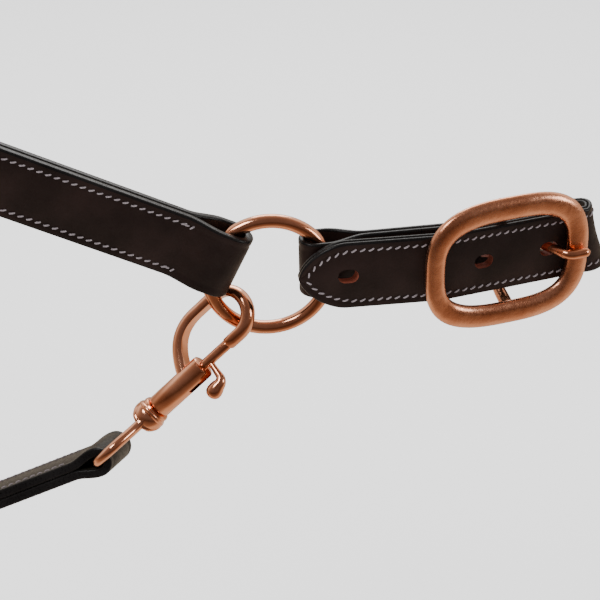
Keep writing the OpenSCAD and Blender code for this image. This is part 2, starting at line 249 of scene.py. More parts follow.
def combine(piece, operation, *tools):
    """Joins tools to a piece, or cuts them out of it, and removes the tools."""
    for tool in tools:
        step = piece.modifiers.new(operation, "BOOLEAN")
        step.operation = operation
        step.solver = "EXACT"
        step.object = tool
        if operation == "DIFFERENCE":
            step.material_mode = "TRANSFER"
    apply_modifiers(piece)
    for tool in tools:
        bpy.data.objects.remove(tool)
    smooth(piece)
    return piece


# Sections: closed lists of (across, out) points


def strap_section(half, thickness, grooves=True):
    """A strap's rounded rectangle, from out = 0 to the face at out = thickness."""
    r = min(EDGE_ROUND, thickness / 2 - 0.05, half * 0.8)
    corners = (
        (half - r, thickness - r, 0),
        (-half + r, thickness - r, 90),
        (-half + r, r, 180),
        (half - r, r, 270),
    )
    points = []
    for index, (cx, cy, start) in enumerate(corners):
        for step in range(5):
            a = math.radians(start + 90 * step / 4)
            points.append((cx + r * math.cos(a), cy + r * math.sin(a)))
        if index == 0:
            points.extend(face_points(half, thickness, grooves))
    return points


def face_points(half, thickness, grooves):
    """The face between its rounded edges: a shallow groove under each row of stitches."""
    line = max(half - INSET, 0.3 * half)
    depth = 0.22 if grooves else 0.0
    wide = min(0.75, line * 0.3)
    row = [
        (line + wide, 0), (line, depth), (line - wide, 0), (0, 0),
        (-line + wide, 0), (-line, depth), (-line - wide, 0),
    ]
    return [(x, thickness - dip) for x, dip in row]


FACE_BANDS = range(4, 12)
BACK_BAND = 21


def leather_slot(k):
    """Material of a strap section's band: the face and the back are 0, the edges are 1."""
    return 0 if k in FACE_BANDS or k == BACK_BAND else 1


def rectangle(half_y, half_z):
    return (-half_y, -half_z), (half_y, -half_z), (half_y, half_z), (-half_y, half_z)


def circle_section(radius, count=20):
    return [
        (radius * math.cos(2 * math.pi * k / count), radius * math.sin(2 * math.pi * k / count))
        for k in range(count)
    ]


# Paths


def arc(cx, cy, r, start, end, steps):
    """Anticlockwise arc as path points."""
    points = []
    for i in range(steps + 1):
        a = start + (end - start) * i / steps
        x = cx + r * math.cos(math.radians(a))
        y = cy + r * math.sin(math.radians(a))
        points.append((x, y, a + 90))
    return points


def bezier(p0, p1, p2, p3, t):
    weights = ((1 - t) ** 3, 3 * t * (1 - t) ** 2, 3 * t * t * (1 - t), t**3)
    return [sum(w * p[i] for w, p in zip(weights, (p0, p1, p2, p3))) for i in (0, 1)]


def ease(t):
    return t * t * (3 - 2 * t)


def closing(x_open, x_closed, high, low, side, steps=14):
    """The stretch where a fold closes: from high to low, on one side of the strap."""
    points = []
    for i in range(1, steps):
        t = i / steps
        x = x_open + (x_closed - x_open) * t
        y = high + (low - high) * ease(t)
        slope = (low - high) * 6 * t * (1 - t) / (x_closed - x_open)
        angle = math.degrees(math.atan(slope))
        points.append((x, side * y, 180 + angle if side > 0 else 360 - angle))
    return points


def straight(x1, x2, y, heading, step=4.0):
    count = max(2, int(abs(x2 - x1) / step))
    return [(x1 + (x2 - x1) * i / count, y, heading) for i in range(count + 1)]


def fold_path(front_end, c, r, s, close, t, back_end):
    """Middle of a strap that comes in on the +Y side, folds round a pocket and goes back."""
    q = r + t / 2
    h = (t + GAP) / 2
    opened, closed = c + s, c + s + close
    front_closing = closing(opened, closed, q, h, 1)[::-1]
    back_closing = closing(opened, closed, q, h, -1)
    return (
        straight(front_end, closed, h, 180)
        + front_closing
        + [(opened, q, 180)]
        + arc(c, 0, q, 90, 270, 28)
        + [(opened, -q, 360)]
        + back_closing
        + straight(closed, back_end, -h, 360)
    )


def strap_rings(path, width, thickness, outward=-1, grooves=True):
    """Rings of a strap along a path. The face is on the path's outer side."""
    section = strap_section(width / 2, thickness, grooves)
    rings = []
    for x, y, heading in path:
        a = math.radians(heading)
        ring = []
        for across, out in section:
            n = outward * (out - thickness / 2)
            ring.append((x - n * math.sin(a), y + n * math.cos(a), across))
        rings.append(ring)
    return rings


def tube_rings(points, radii, count=20, start_side=(0, 1, 0), wide=1.0, flat=1.0):
    """Rings of a rod through points. wide stretches it sideways, flat cuts its inner side."""
    points = [Vector(p) for p in points]
    if not hasattr(radii, "__len__"):
        radii = [radii] * len(points)
    side = Vector(start_side)
    rings = []
    for i, point in enumerate(points):
        before = points[max(i - 1, 0)]
        after = points[min(i + 1, len(points) - 1)]
        direction = (after - before).normalized()
        side = (side - direction * side.dot(direction)).normalized()
        up = direction.cross(side)
        limit = radii[i] * flat
        section = [(u * wide, min(v, limit)) for u, v in circle_section(radii[i], count)]
        rings.append([point + side * u + up * v for u, v in section])
    return rings


def rod(points, radii, count=20, start_side=(0, 1, 0), **section):
    shell = Shell()
    shell.tube(tube_rings(points, radii, count, start_side, **section))
    return shell


def lathe(profile, count=40):
    """A turned shape about local X, from (x, radius) points."""
    shell = Shell()
    shell.tube(
        [
            [
                (x, r * math.cos(2 * math.pi * k / count), r * math.sin(2 * math.pi * k / count))
                for k in range(count)
            ]
            for x, r in profile
        ]
    )
    return shell


# ---------------------------------------------------------------- stitches


def add_stitch(shell, centre, along, out):
    """One stitch: a short thread that dips into the leather at both ends."""
    along = Vector(along).normalized()
    out = Vector(out).normalized()
    side = along.cross(out)
    direction = (along + side * STITCH_SLANT).normalized()
    offsets = ((-0.5, -0.35), (-0.36, 0.1), (-0.12, 0.24), (0.12, 0.24), (0.36, 0.1), (0.5, -0.35))
    thick = THREAD_R * 0.92
    radii = (STITCH_END_R, thick, THREAD_R, THREAD_R, thick, STITCH_END_R)
    points = [
        Vector(centre) + direction * (s * STITCH_LENGTH) + out * lift for s, lift in offsets
    ]
    shell.tube(tube_rings(points, radii, 8, out))


def stitch_line(shell, points, out):
    """Stitches at an even pitch along a polyline on a strap's face."""
    points = [Vector(p) for p in points]
    left = PITCH / 2
    for a, b in zip(points, points[1:]):
        span = (b - a).length
        if span < 1e-6:
            continue
        direction = (b - a) / span
        while left < span:
            add_stitch(shell, a + direction * left, direction, out)
            left += PITCH
        left -= span


def stitch_rows(shell, x1, x2, width, front, back):
    """Two straight rows on both faces of a strap that lies along local X."""
    for side in (-1, 1):
        z = side * (width / 2 - INSET)
        for y, out in ((front - SUNK, (0, 1, 0)), (back + SUNK, (0, -1, 0))):
            stitch_line(shell, [(x1, y, z), (x2, y, z)], out)


# ---------------------------------------------------------------- materials


def new_material(name):
    material = bpy.data.materials.new(name)
    material.use_nodes = True
    nodes = material.node_tree.nodes
    return material, nodes, material.node_tree.links, nodes["Principled BSDF"]


def noise_node(nodes, links, scale, detail=4.0, stretch=(1, 1, 1)):
    """Noise in metres of the row's frame, so that it doesn't depend on UVs."""
    place = nodes.new("ShaderNodeTexCoord")
    mapping = nodes.new("ShaderNodeMapping")
    mapping.inputs["Scale"].default_value = stretch
    texture = nodes.new("ShaderNodeTexNoise")
    texture.inputs["Scale"].default_value = scale
    texture.inputs["Detail"].default_value = detail
    links.new(place.outputs["Object"], mapping.inputs["Vector"])
    links.new(mapping.outputs["Vector"], texture.inputs["Vector"])
    return texture.outputs["Fac"]


def ramp_node(nodes, links, value, stops):
    ramp = nodes.new("ShaderNodeValToRGB")
    elements = ramp.color_ramp.elements
    while len(elements) < len(stops):
        elements.new(0.5)
    for element, (position, colour) in zip(elements, stops):
        element.position = position
        element.color = (*colour, 1)
    links.new(value, ramp.inputs["Fac"])
    return ramp.outputs["Color"]


def grey_range(nodes, links, value, low, high):
    change = nodes.new("ShaderNodeMapRange")
    change.inputs["To Min"].default_value = low
    change.inputs["To Max"].default_value = high
    change.inputs["From Min"].default_value = 0.3
    change.inputs["From Max"].default_value = 0.7
    links.new(value, change.inputs["Value"])
    return change.outputs["Result"]


def add_bump(nodes, links, shader, height, distance, strength, previous=None):
    bump = nodes.new("ShaderNodeBump")
    bump.inputs["Distance"].default_value = distance
    bump.inputs["Strength"].default_value = strength
    links.new(height, bump.inputs["Height"])
    if previous is not None:
        links.new(previous, bump.inputs["Normal"])
    links.new(bump.outputs["Normal"], shader.inputs["Normal"])
    return bump.outputs["Normal"]


def leather_material(name, dark, light, rough_low, rough_high, grain=0.35):
    material, nodes, links, shader = new_material(name)
    broad = noise_node(nodes, links, 60, 5)
    links.new(ramp_node(nodes, links, broad, ((0.3, dark), (0.7, light))), shader.inputs["Base Color"])
    fine = noise_node(nodes, links, 900, 6)
    links.new(grey_range(nodes, links, fine, rough_low, rough_high), shader.inputs["Roughness"])
    pores = nodes.new("ShaderNodeTexVoronoi")
    pores.inputs["Scale"].default_value = 1700
    place = nodes.new("ShaderNodeTexCoord")
    links.new(place.outputs["Object"], pores.inputs["Vector"])
    first = add_bump(nodes, links, shader, pores.outputs["Distance"], 0.00008, grain)
    second = add_bump(nodes, links, shader, fine, 0.00012, grain, first)
    add_bump(nodes, links, shader, broad, 0.0006, 0.25, second)
    shader.inputs["Specular IOR Level"].default_value = 0.18
    return material


def copper_material(name, rough_low, rough_high, cast=0.0):
    """Polished rose-gold plating. cast adds the fine unevenness of a casting."""
    material, nodes, links, shader = new_material(name)
    broad = noise_node(nodes, links, 90, 4)
    stops = ((0.3, (0.64, 0.27, 0.15)), (0.7, (0.86, 0.43, 0.27)))
    links.new(ramp_node(nodes, links, broad, stops), shader.inputs["Base Color"])
    shader.inputs["Metallic"].default_value = 1.0
    fine = noise_node(nodes, links, 1500, 5)
    links.new(grey_range(nodes, links, fine, rough_low, rough_high), shader.inputs["Roughness"])
    first = add_bump(nodes, links, shader, fine, 0.00004, 0.12 + cast * 0.3)
    lumps = noise_node(nodes, links, 260, 2)
    add_bump(nodes, links, shader, lumps, 0.0004, 0.10 + cast * 0.25, first)
    return material


def thread_material():
    material, nodes, links, shader = new_material("thread")
    fine = noise_node(nodes, links, 2500, 3)
    stops = ((0.3, (0.16, 0.13, 0.14)), (0.7, (0.34, 0.29, 0.30)))
    links.new(ramp_node(nodes, links, fine, stops), shader.inputs["Base Color"])
    shader.inputs["Roughness"].default_value = 0.8
    add_bump(nodes, links, shader, fine, 0.0002, 0.6)
    return material


def steel_material():
    material, nodes, links, shader = new_material("spring_steel")
    fine = noise_node(nodes, links, 2000, 3)
    stops = ((0.3, (0.45, 0.45, 0.46)), (0.7, (0.62, 0.62, 0.64)))
    links.new(ramp_node(nodes, links, fine, stops), shader.inputs["Base Color"])
    shader.inputs["Metallic"].default_value = 1.0
    links.new(grey_range(nodes, links, fine, 0.25, 0.4), shader.inputs["Roughness"])
    add_bump(nodes, links, shader, fine, 0.00003, 0.2)
    return material


HAVANA = leather_material(
    "havana_leather", (0.009, 0.005, 0.004), (0.021, 0.0105, 0.0085), 0.36, 0.52
)
EDGE = leather_material(
    "waxed_edge", (0.004, 0.0038, 0.004), (0.010, 0.009, 0.009), 0.22, 0.36, 0.2
)
OLIVE = leather_material(
    "strap_leather", (0.011, 0.0095, 0.007), (0.030, 0.027, 0.020), 0.4, 0.58
)
HOLE = leather_material("hole_leather", (0.16, 0.040, 0.024), (0.30, 0.085, 0.050), 0.6, 0.8)
POLISHED = copper_material("polished_copper", 0.10, 0.2)
SATIN = copper_material("satin_copper", 0.20, 0.36, 1.0)
THREAD = thread_material()
STEEL = steel_material()


def finish_piece(piece, body, *nodes):
    """Rides on its body and stands for its CAD nodes."""
    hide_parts(*nodes)
    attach(piece, body)
    return piece


# ---------------------------------------------------------------- straps


def end_loop_path(x, t):
    """A strap's end that curls round an open loop behind its face."""
    q = END_LOOP_R + t / 2
    cy = GAP / 2 - END_LOOP_R
    return arc(x, cy, q, -190, 90, 36)


def folded_strap(name, matrix, path, width, thickness, leather):
    shell = Shell()
    shell.tube(strap_rings(path, width, thickness), leather_slot)
    return shell.build(name, matrix, [leather, EDGE, HOLE])


# Folds: pocket radius, straight reach beside the pocket, length over which the fold closes
NECK_POCKET = (4.2, 3.5, 14)
CHAPE_POCKET = (4.4, 3.5, 14)
BAR_POCKET = (BAR_POCKET_R, 0.5, 8)
SNAP_STRAP_POCKET = (2.1, 0.5, 10)


def neck_strap():
    path = end_loop_path(NECK_LENGTH, NECK_LAYER) + fold_path(
        NECK_LENGTH - 1, NECK_FOLD_X, *NECK_POCKET, NECK_LAYER, NECK_FOLD_X + NECK_TURN_BACK
    )
    outer = folded_strap("neck_strap_leather", NECK, path, NECK_WIDTH, NECK_LAYER, HAVANA)
    finish_piece(outer, "neck", "neck_strap_outer")
    start = NECK_FOLD_X + NECK_TURN_BACK + 0.1
    end = NECK_LENGTH - END_LOOP_R - NECK_LAYER - 1
    lining_path = straight(start, end, -(NECK_LAYER + GAP) / 2, 360)
    lining = folded_strap("neck_strap_back", NECK, lining_path, NECK_WIDTH, NECK_LAYER, HAVANA)
    finish_piece(lining, "neck", "neck_strap_lining")
    stitches = Shell()
    first = NECK_FOLD_X + NECK_POCKET[1] + NECK_POCKET[2] - 6
    stitch_rows(stitches, first + 5, end - 2, NECK_WIDTH, NECK_LAYER + GAP / 2, -NECK_LAYER)
    for side in (-1, 1):
        z = side * (NECK_WIDTH / 2 - INSET)
        for i in (0, 1):
            centre = (first + 5.6 - i * 2.2, NECK_LAYER - 0.05 + 0.25 * i, z - side * 0.1)
            add_stitch(stitches, centre, (1, 0, 0.5 * (1 - 2 * i)), (0, 1, 0))
    finish_piece(
        stitches.build("neck_strap_thread", NECK, [THREAD]), "neck", "neck_strap_stitching"
    )


def chape():
    """One band of leather: round the ring, along the front, round the bar and back."""
    middle = 37.3
    ring_side = fold_path(middle, 0, *CHAPE_POCKET, CHAPE_LAYER, middle)
    bar_side = fold_path(
        CHAPE_LENGTH - middle, 0, *BAR_POCKET, CHAPE_LAYER, CHAPE_LENGTH - middle - 0.2
    )
    mirrored = [(CHAPE_LENGTH - x, y, 180 - heading) for x, y, heading in bar_side]
    path = ring_side[::-1]
    path = [(x, y, heading - 180) for x, y, heading in path] + mirrored[1:]
    shell = Shell()
    shell.tube(strap_rings(path, CHAPE_WIDTH, CHAPE_LAYER, outward=1), leather_slot)
    piece = shell.build("chape_leather", CHAPE, [HAVANA, EDGE, HOLE])
    slot_half = 2.3
    cutter = Shell()
    cutter.tube(
        [
            [(x, y, z) for y, z in rectangle(9, slot_half)]
            for x in (CHAPE_LENGTH - 7, CHAPE_LENGTH + 12)
        ]
    )
    combine(piece, "DIFFERENCE", cutter.build("slot_tool", CHAPE, [HOLE]))
    finish_piece(piece, "chape", "chape")
    stitches = Shell()
    face = CHAPE_LAYER + GAP / 2
    stitch_rows(stitches, 19.5, CHAPE_LENGTH - 12, CHAPE_WIDTH, face, -face)
    finish_piece(
        stitches.build("chape_thread", CHAPE, [THREAD]), "chape", "chape_stitching"
    )


# ---------------------------------------------------------------- billet

BILLET_BEND_X = -25.0
BILLET_TURN = 12.6
POINT_REACH = 50.0
POINT_LENGTH = 17.0
TAIL_X = 31.0
TAIL_R = 3.0
TAIL_TURN = 110.0
TAIL_TILT = 17.0
TAIL_LENGTH = 45.5
TONGUE_HOLE_X = 16.0
HOLE_PITCH = 25.6
HOLE_XS = (TONGUE_HOLE_X, TONGUE_HOLE_X - HOLE_PITCH)
POINT_HOLE = POINT_REACH - 16
HOLE_TOOL_SHIFT = 3.0
BEND_HALF = 5.0  # half the length over which the billet bends
FAR_FROM_TIP = 2 * POINT_REACH


def tail_matrix(turn):
    """Place on the billet's tail once it has turned by some degrees about its slanted crease."""
    slide = -math.radians(turn) * TAIL_R * math.tan(math.radians(TAIL_TILT))
    place = Matrix.Translation((TAIL_X, -BILLET_BACK + TAIL_R, 0))
    place = turned(turned(place, "Y", -TAIL_TILT), "Z", turn)
    return turned(moved(place, 0, 0, slide), "Y", TAIL_TILT)


def point_half_width(distance):
    """Half the billet's width at a distance from its tip: a rounded spear point."""
    if distance >= POINT_LENGTH:
        return BILLET_WIDTH / 2
    t = max(1 - distance / POINT_LENGTH, 0)
    return BILLET_WIDTH / 2 * max(1 - t**1.75, 0.0) ** (1 / 1.55)


def stitch_half_width(distance):
    """Distance of each stitch row from the middle: the point's outline, moved inwards."""
    share = 1 - INSET / (BILLET_WIDTH / 2)
    return point_half_width(max(distance - INSET, 0)) * share


def billet_stations():
    """(matrix, distance to the tip), from the tail's end. Local -Y faces outwards."""
    stations = []
    for i in range(10):
        place = moved(tail_matrix(TAIL_TURN), TAIL_LENGTH * (1 - i / 10), 0, 0)
        stations.append((place, FAR_FROM_TIP))
    for i in range(13):
        stations.append((tail_matrix(TAIL_TURN * (1 - i / 12)), FAR_FROM_TIP))
    for i in range(1, 14):
        x = TAIL_X + (BILLET_BEND_X + BEND_HALF - TAIL_X) * i / 13
        stations.append((Matrix.Translation((x, -BILLET_BACK + TAIL_R, 0)), FAR_FROM_TIP))
    x, y = BILLET_BEND_X + BEND_HALF, -BILLET_BACK + TAIL_R
    step = 0.5
    travelled = -BEND_HALF
    while travelled < POINT_REACH - 0.1:
        travelled += step
        turn = BILLET_TURN * ease(min(max((travelled + BEND_HALF) / (2 * BEND_HALF), 0), 1))
        x -= step * math.cos(math.radians(turn))
        y += step * math.sin(math.radians(turn))
        place = turned(Matrix.Translation((x, y, 0)), "Z", -turn)
        stations.append((place, max(POINT_REACH - travelled, 0.04)))
    return stations


def billet_layer(name, inner, outer, node):
    shell = Shell()
    rings = []
    for matrix, distance in billet_stations():
        section = strap_section(point_half_width(distance), outer - inner)
        rings.append(
            [tuple(matrix @ Vector((0, -TAIL_R - inner - out, across))) for across, out in section]
        )
    shell.tube(rings, leather_slot)
    piece = shell.build(name, BUCKLE, [HAVANA, EDGE, HOLE])
    tools = [hole_tool(Matrix.Translation((x, 0, 0))) for x in HOLE_XS]
    turn = math.radians(BILLET_TURN)
    px = BILLET_BEND_X - POINT_HOLE * math.cos(turn)
    tools.append(hole_tool(Matrix.Translation((px, HOLE_TOOL_SHIFT, 0))))
    combine(piece, "DIFFERENCE", *tools)
    return finish_piece(piece, "buckle", node)


def hole_tool(matrix):
    """An oval cutter 7.1 by 5.4 mm, along local Y."""
    ring = []
    for k in range(40):
        a = 2 * math.pi * k / 40
        across = 2.7 * math.sin(a)
        along = 2.7 * math.cos(a) + math.copysign(0.85, math.cos(a))
        ring.append((along, across))
    shell = Shell()
    shell.tube([[(u, y, v) for u, v in ring] for y in (-30.0, 10.0)])
    return shell.build("hole_tool", BUCKLE @ matrix, [HOLE])


def billet_stitches():
    shell = Shell()
    for out_sign, depth in ((-1, 2 * BILLET_LAYER + GAP - SUNK), (1, SUNK)):
        rows = {1: [], -1: []}
        for matrix, distance in billet_stations():
            if distance < INSET:
                continue
            line = stitch_half_width(distance)
            for side in (1, -1):
                rows[side].append(matrix @ Vector((0, -TAIL_R - depth, side * line)))
        for row in rows.values():
            stitch_along(shell, row, out_sign)
    piece = shell.build("billet_thread", BUCKLE, [THREAD])
    finish_piece(piece, "buckle", "billet_stitching")


def stitch_along(shell, row, out_sign):
    """Stitches along a bending row. Out is square to the row and to the strap's width."""
    left = PITCH / 2
    for a, b in zip(row, row[1:]):
        span = (b - a).length
        if span < 1e-6:
            continue
        direction = (b - a) / span
        flat = Vector((direction.x, direction.y, 0))
        if flat.length < 0.05:
            out = Vector((0, out_sign, 0))
        else:
            out = Vector((0, 0, 1)).cross(flat.normalized()) * -out_sign
        while left < span:
            add_stitch(shell, a + direction * left, direction, out)
            left += PITCH
        left -= span


# ---------------------------------------------------------------- buckle


def rail_section(width, thickness, ridge):
    """The frame's section. ridge 0 is round-backed, 1 has a crest along the middle."""
    points = []
    count = 28
    for k in range(count):
        a = 2 * math.pi * k / count
        u, v = math.cos(a), math.sin(a)
        power = 0.8
        across = math.copysign(abs(u) ** power, u) * width / 2
        lift = math.copysign(abs(v) ** (power + 0.35 * ridge), v) * thickness / 2
        points.append((across, lift))
    return points


def buckle_frame():
    half_x = (FRAME_LENGTH - 7.6) / 2
    half_z = (FRAME_HEIGHT - 9.0) / 2
    power = 3.0
    steps = 96
    rings = []
    for i in range(steps):
        a = 2 * math.pi * i / steps
        c, s = math.cos(a), math.sin(a)
        reach = half_x if c > 0 else half_x + FRAME_LEFT
        x = math.copysign(abs(c) ** (2 / power), c) * reach
        z = math.copysign(abs(s) ** (2 / power), s) * half_z
        normal = Vector(
            (
                math.copysign(abs(x / reach) ** (power - 1), x) / reach,
                0,
                math.copysign(abs(z / half_z) ** (power - 1), z) / half_z,
            )
        ).normalized()
        side_bar = abs(normal.z) ** 1.5
        end_width = 8.0 if x > 0 else 7.2
        width = end_width + (9.0 - end_width) * side_bar
        rings.append(
            [
                Vector((x, FRAME_Y, z)) + normal * across + Vector((0, -1, 0)) * lift
                for across, lift in rail_section(width, FRAME_THICKNESS, side_bar)
            ]
        )
    loop = Shell()
    loop.tube(rings, closed=True)
    piece = loop.build("buckle_casting", BUCKLE, [SATIN])
    leg = []
    for i in range(9):
        t = i / 8
        leg.append((0, FRAME_Y * ease(t), 14.6 + (half_z - 14.6) * t**0.8))
    points = [(x, y, -z) for x, y, z in reversed(leg)] + leg
    radii = [2.5 - 0.4 * (min(i, 17 - i) / 8) for i in range(18)]
    bar = rod(points, radii, 20, (1, 0, 0)).build("bar_tool", BUCKLE, [SATIN])
    combine(piece, "UNION", bar)
    finish_piece(piece, "buckle", "buckle_frame")


def buckle_tongue():
    """A round tongue: knuckle on the bar, rise through the hole, point over the far bar."""
    low, bend, slope, r = 1.2, 4.0, 65.0, 1.8
    high = -FRAME_Y + FRAME_THICKNESS / 2 + r + GAP
    t = math.radians(slope)
    steep = (high - low - 2 * bend * (1 - math.cos(t))) / math.sin(t)
    run = 2 * bend * math.sin(t) + steep * math.cos(t)
    start = HOLE_XS[0] + 1.2 - run / 2
    tip = FRAME_LENGTH / 2 - 0.6
    points = [(x, -low, 0) for x in (3.2, 5, 7)]
    points += [
        (start + bend * math.sin(t * i / 8), -low - bend * (1 - math.cos(t * i / 8)), 0)
        for i in range(9)
    ]
    for i in range(9):
        a = t * (1 - i / 8)
        points.append((start + run - bend * math.sin(a), -high + bend * (1 - math.cos(a)), 0))
    points += [(x, -high, 0) for x in (start + run + 2, tip - 2.4)]
    radii = [r] * len(points)
    for k, shrink in enumerate((0.97, 0.88, 0.7, 0.4, 0.08)):
        points.append((tip - 1.8 + 0.45 * k, -high, 0))
        radii.append(r * shrink)
    piece = rod(points, radii, 20).build("tongue_casting", BUCKLE, [POLISHED])
    ring = []
    inner, outer, half = BAR_R + 0.05, BAR_R + 1.9, r
    for k in range(40):
        a = 2 * math.pi * k / 40
        section = []
        for m in range(12):
            b = 2 * math.pi * m / 12
            radius = (inner + outer) / 2 + (outer - inner) / 2 * math.cos(b)
            section.append((radius * math.cos(a), radius * math.sin(a), half * math.sin(b)))
        ring.append(section)
    knuckle = Shell()
    knuckle.tube(ring, closed=True)
    combine(piece, "UNION", knuckle.build("knuckle_tool", BUCKLE, [POLISHED]))
    finish_piece(piece, "tongue", "buckle_tongue")


# ---------------------------------------------------------------- ring and snap


def o_ring():
    shell = Shell()
    rings = []
    for i in range(120):
        a = 2 * math.pi * i / 120
        rings.append(
            [
                ((RING_R + u) * math.cos(a), v, (RING_R + u) * math.sin(a))
                for u, v in circle_section(WIRE_R, 28)
            ]
        )
    shell.tube(rings, closed=True)
    piece = shell.build("ring_wire", Matrix.Scale(MM, 4), [POLISHED])
    finish_piece(piece, "ring", "o_ring")


def hook_points():
    """Centre line of the hook in the snap's XZ plane, with a radius at each point."""
    top = 2 * HOOK_BEND
    tip_x = HOOK_X - 5.8
    points, radii = [], []

    def add(x, z, r):
        points.append((x, 0, z))
        radii.append(r)

    add(tip_x, 0, HOOK_R * 0.86)
    add(tip_x + 0.4, 0, HOOK_R * 0.97)
    add(tip_x + 3, 0, HOOK_R)
    for i in range(25):
        a = math.radians(-90 + 180 * i / 24)
        add(HOOK_X + HOOK_BEND * math.cos(a), HOOK_BEND + HOOK_BEND * math.sin(a), HOOK_R)
    for i in range(1, 4):
        add(HOOK_X - (HOOK_X - 9) * i / 4, top, HOOK_R)
    for i in range(17):
        t = i / 16
        x, z = bezier((9, top), (-1.5, top), (-5.5, 10.5), (-8.2, 1.2), t)
        add(x, z, HOOK_R * (1 + 0.2 * t))
    return points, radii


def snap_body():
    barrel = lathe(
        [(-24, 3.6), (-23.8, 4.1), (-23.2, BARREL_R), (-12, BARREL_R), (-1.2, BARREL_R),
         (-0.4, BARREL_R - 0.15), (0, BARREL_R - 0.7)]
    ).build("snap_casting", SNAP, [POLISHED])
    points, radii = hook_points()
    hook = rod(points, radii, 28, wide=1.12, flat=0.66).build("hook_tool", SNAP, [POLISHED])
    combine(barrel, "UNION", hook)
    bore = lathe([(-21.2, BOLT_R + 0.05), (4, BOLT_R + 0.05)]).build("bore_tool", SNAP, [POLISHED])
    socket = lathe([(-26, 2.2), (-22, 2.2)]).build("socket_tool", SNAP, [POLISHED])
    slot = Shell()
    slot.tube(
        [
            [(x, y, z) for y, z in ((-1.5, -9), (1.5, -9), (1.5, 0), (-1.5, 0))]
            for x in (-10, 3)
        ]
    )
    combine(barrel, "DIFFERENCE", bore, socket, slot.build("slot_tool", SNAP, [POLISHED]))
    finish_piece(barrel, "snap", "snap_body")


def snap_bolt():
    tip = HOOK_X - 5.85
    piece = lathe(
        [(-8, BOLT_R - 0.3), (-7.7, BOLT_R), (0, BOLT_R), (tip - 0.5, BOLT_R),
         (tip - 0.15, BOLT_R - 0.12), (tip, BOLT_R - 0.5)]
    ).build("bolt_rod", SNAP, [POLISHED])
    finish_piece(piece, "bolt", "snap_bolt")


def thumb_stud():
    """A neck out of the bolt that curls back into a rounded pad."""
    neck, curl, x0 = 6.8, 2.6, 2.7
    points = [(x0, 0, -1), (x0, 0, -3), (x0, 0, -5), (x0, 0, -neck)]
    radii = [1.15, 1.15, 1.25, 1.4]
    for i in range(1, 9):
        a = math.radians(90 * i / 8)
        points.append((x0 - curl + curl * math.cos(a), 0, -neck - curl * math.sin(a)))
        radii.append(1.4 + 1.1 * i / 8)
    for dx, r in ((1.2, 2.85), (2.4, 3.0), (3.6, 2.8), (4.5, 2.1), (5.0, 1.2), (5.2, 0.3)):
        points.append((x0 - curl - dx, 0, -neck - curl - 0.25 * dx))
        radii.append(r)
    piece = rod(points, radii, 24).build("stud_casting", SNAP, [POLISHED])
    finish_piece(piece, "bolt", "thumb_stud")


def snap_spring():
    turns, radius, start, end = 6, 1.35, -20.7, -8.4
    steps = 24 * turns
    points = []
    for i in range(steps + 1):
        a = 2 * math.pi * turns * i / steps
        points.append(
            (start + (end - start) * i / steps, radius * math.cos(a), radius * math.sin(a))
        )
    piece = rod(points, 0.3, 8, (1, 0, 0)).build("spring_coil", SNAP, [STEEL])
    finish_piece(piece, "snap", "snap_spring")
    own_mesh(piece)


def wrap_band(x, tilt):
    """A tilted round band that makes the collar look wrapped."""
    radius, wire = 5.0, 1.05
    tilt = math.radians(tilt)
    rings = []
    for i in range(48):
        a = 2 * math.pi * i / 48
        ring = []
        for u, v in circle_section(wire, 14):
            reach = radius + u
            lean = x + v + reach * math.sin(a) * math.tan(tilt)
            ring.append((lean, reach * math.cos(a), reach * math.sin(a)))
        rings.append(ring)
    shell = Shell()
    shell.tube(rings, closed=True)
    return shell.build("wrap_tool", EYE, [POLISHED])


def swivel():
    rivet = lathe(
        [(-22.05, 2.0), (-22.1, 2.2), (-29.6, 2.2), (-29.6, 3.3),
         (-29.9, 3.6), (-30.5, 3.5), (-31.0, 2.6), (-31.1, 1.0)]
    ).build("rivet_turned", SNAP, [POLISHED])
    finish_piece(rivet, "snap", "swivel_rivet")
    collar = lathe(
        [(-24.15, 4.6), (-24.4, 5.1), (-25.2, 5.4), (-25.9, 5.2), (-26.4, 5.4), (-27.2, 5.9),
         (-28.6, 6.0), (-30.2, 5.9), (-31.4, 5.4), (-32.2, 4.9), (-32.6, 4.6)]
    ).build("eye_casting", EYE, [POLISHED])
    eye_half = SNAP_STRAP_WIDTH / 2 + EYE_CLEARANCE
    corner = EYE_BAR_X + 8
    points = [(-29.0, 0, 3.8), (-31.0, 0, 4.3)]
    for i in range(1, 7):
        t = i / 6
        points.append((-31.0 + (corner + 31.0) * t, 0, 4.3 + (eye_half - 4.3) * ease(t) ** 0.9))
    for i in range(1, 7):
        a = math.radians(90 * i / 6)
        points.append((corner - 8 * math.sin(a), 0, eye_half - 3 + 3 * math.cos(a)))
    points.append((EYE_BAR_X, 0, 6))
    loop = points + [(EYE_BAR_X, 0, 0)] + [(x, y, -z) for x, y, z in reversed(points)]
    eye = rod(loop, 1.8, 20).build("eye_tool", EYE, [POLISHED])
    wraps = [wrap_band(-27.7, 20), wrap_band(-29.0, -24)]
    combine(collar, "UNION", eye, *wraps)
    shank = lathe([(-29.5, 2.26), (-20, 2.26)]).build("shank_tool", EYE, [POLISHED])
    chamber = lathe([(-38.0, 3.8), (-29.45, 3.8)]).build("chamber_tool", EYE, [POLISHED])
    combine(collar, "DIFFERENCE", shank, chamber)
    finish_piece(collar, "swivel", "swivel_eye")


# ---------------------------------------------------------------- snap strap


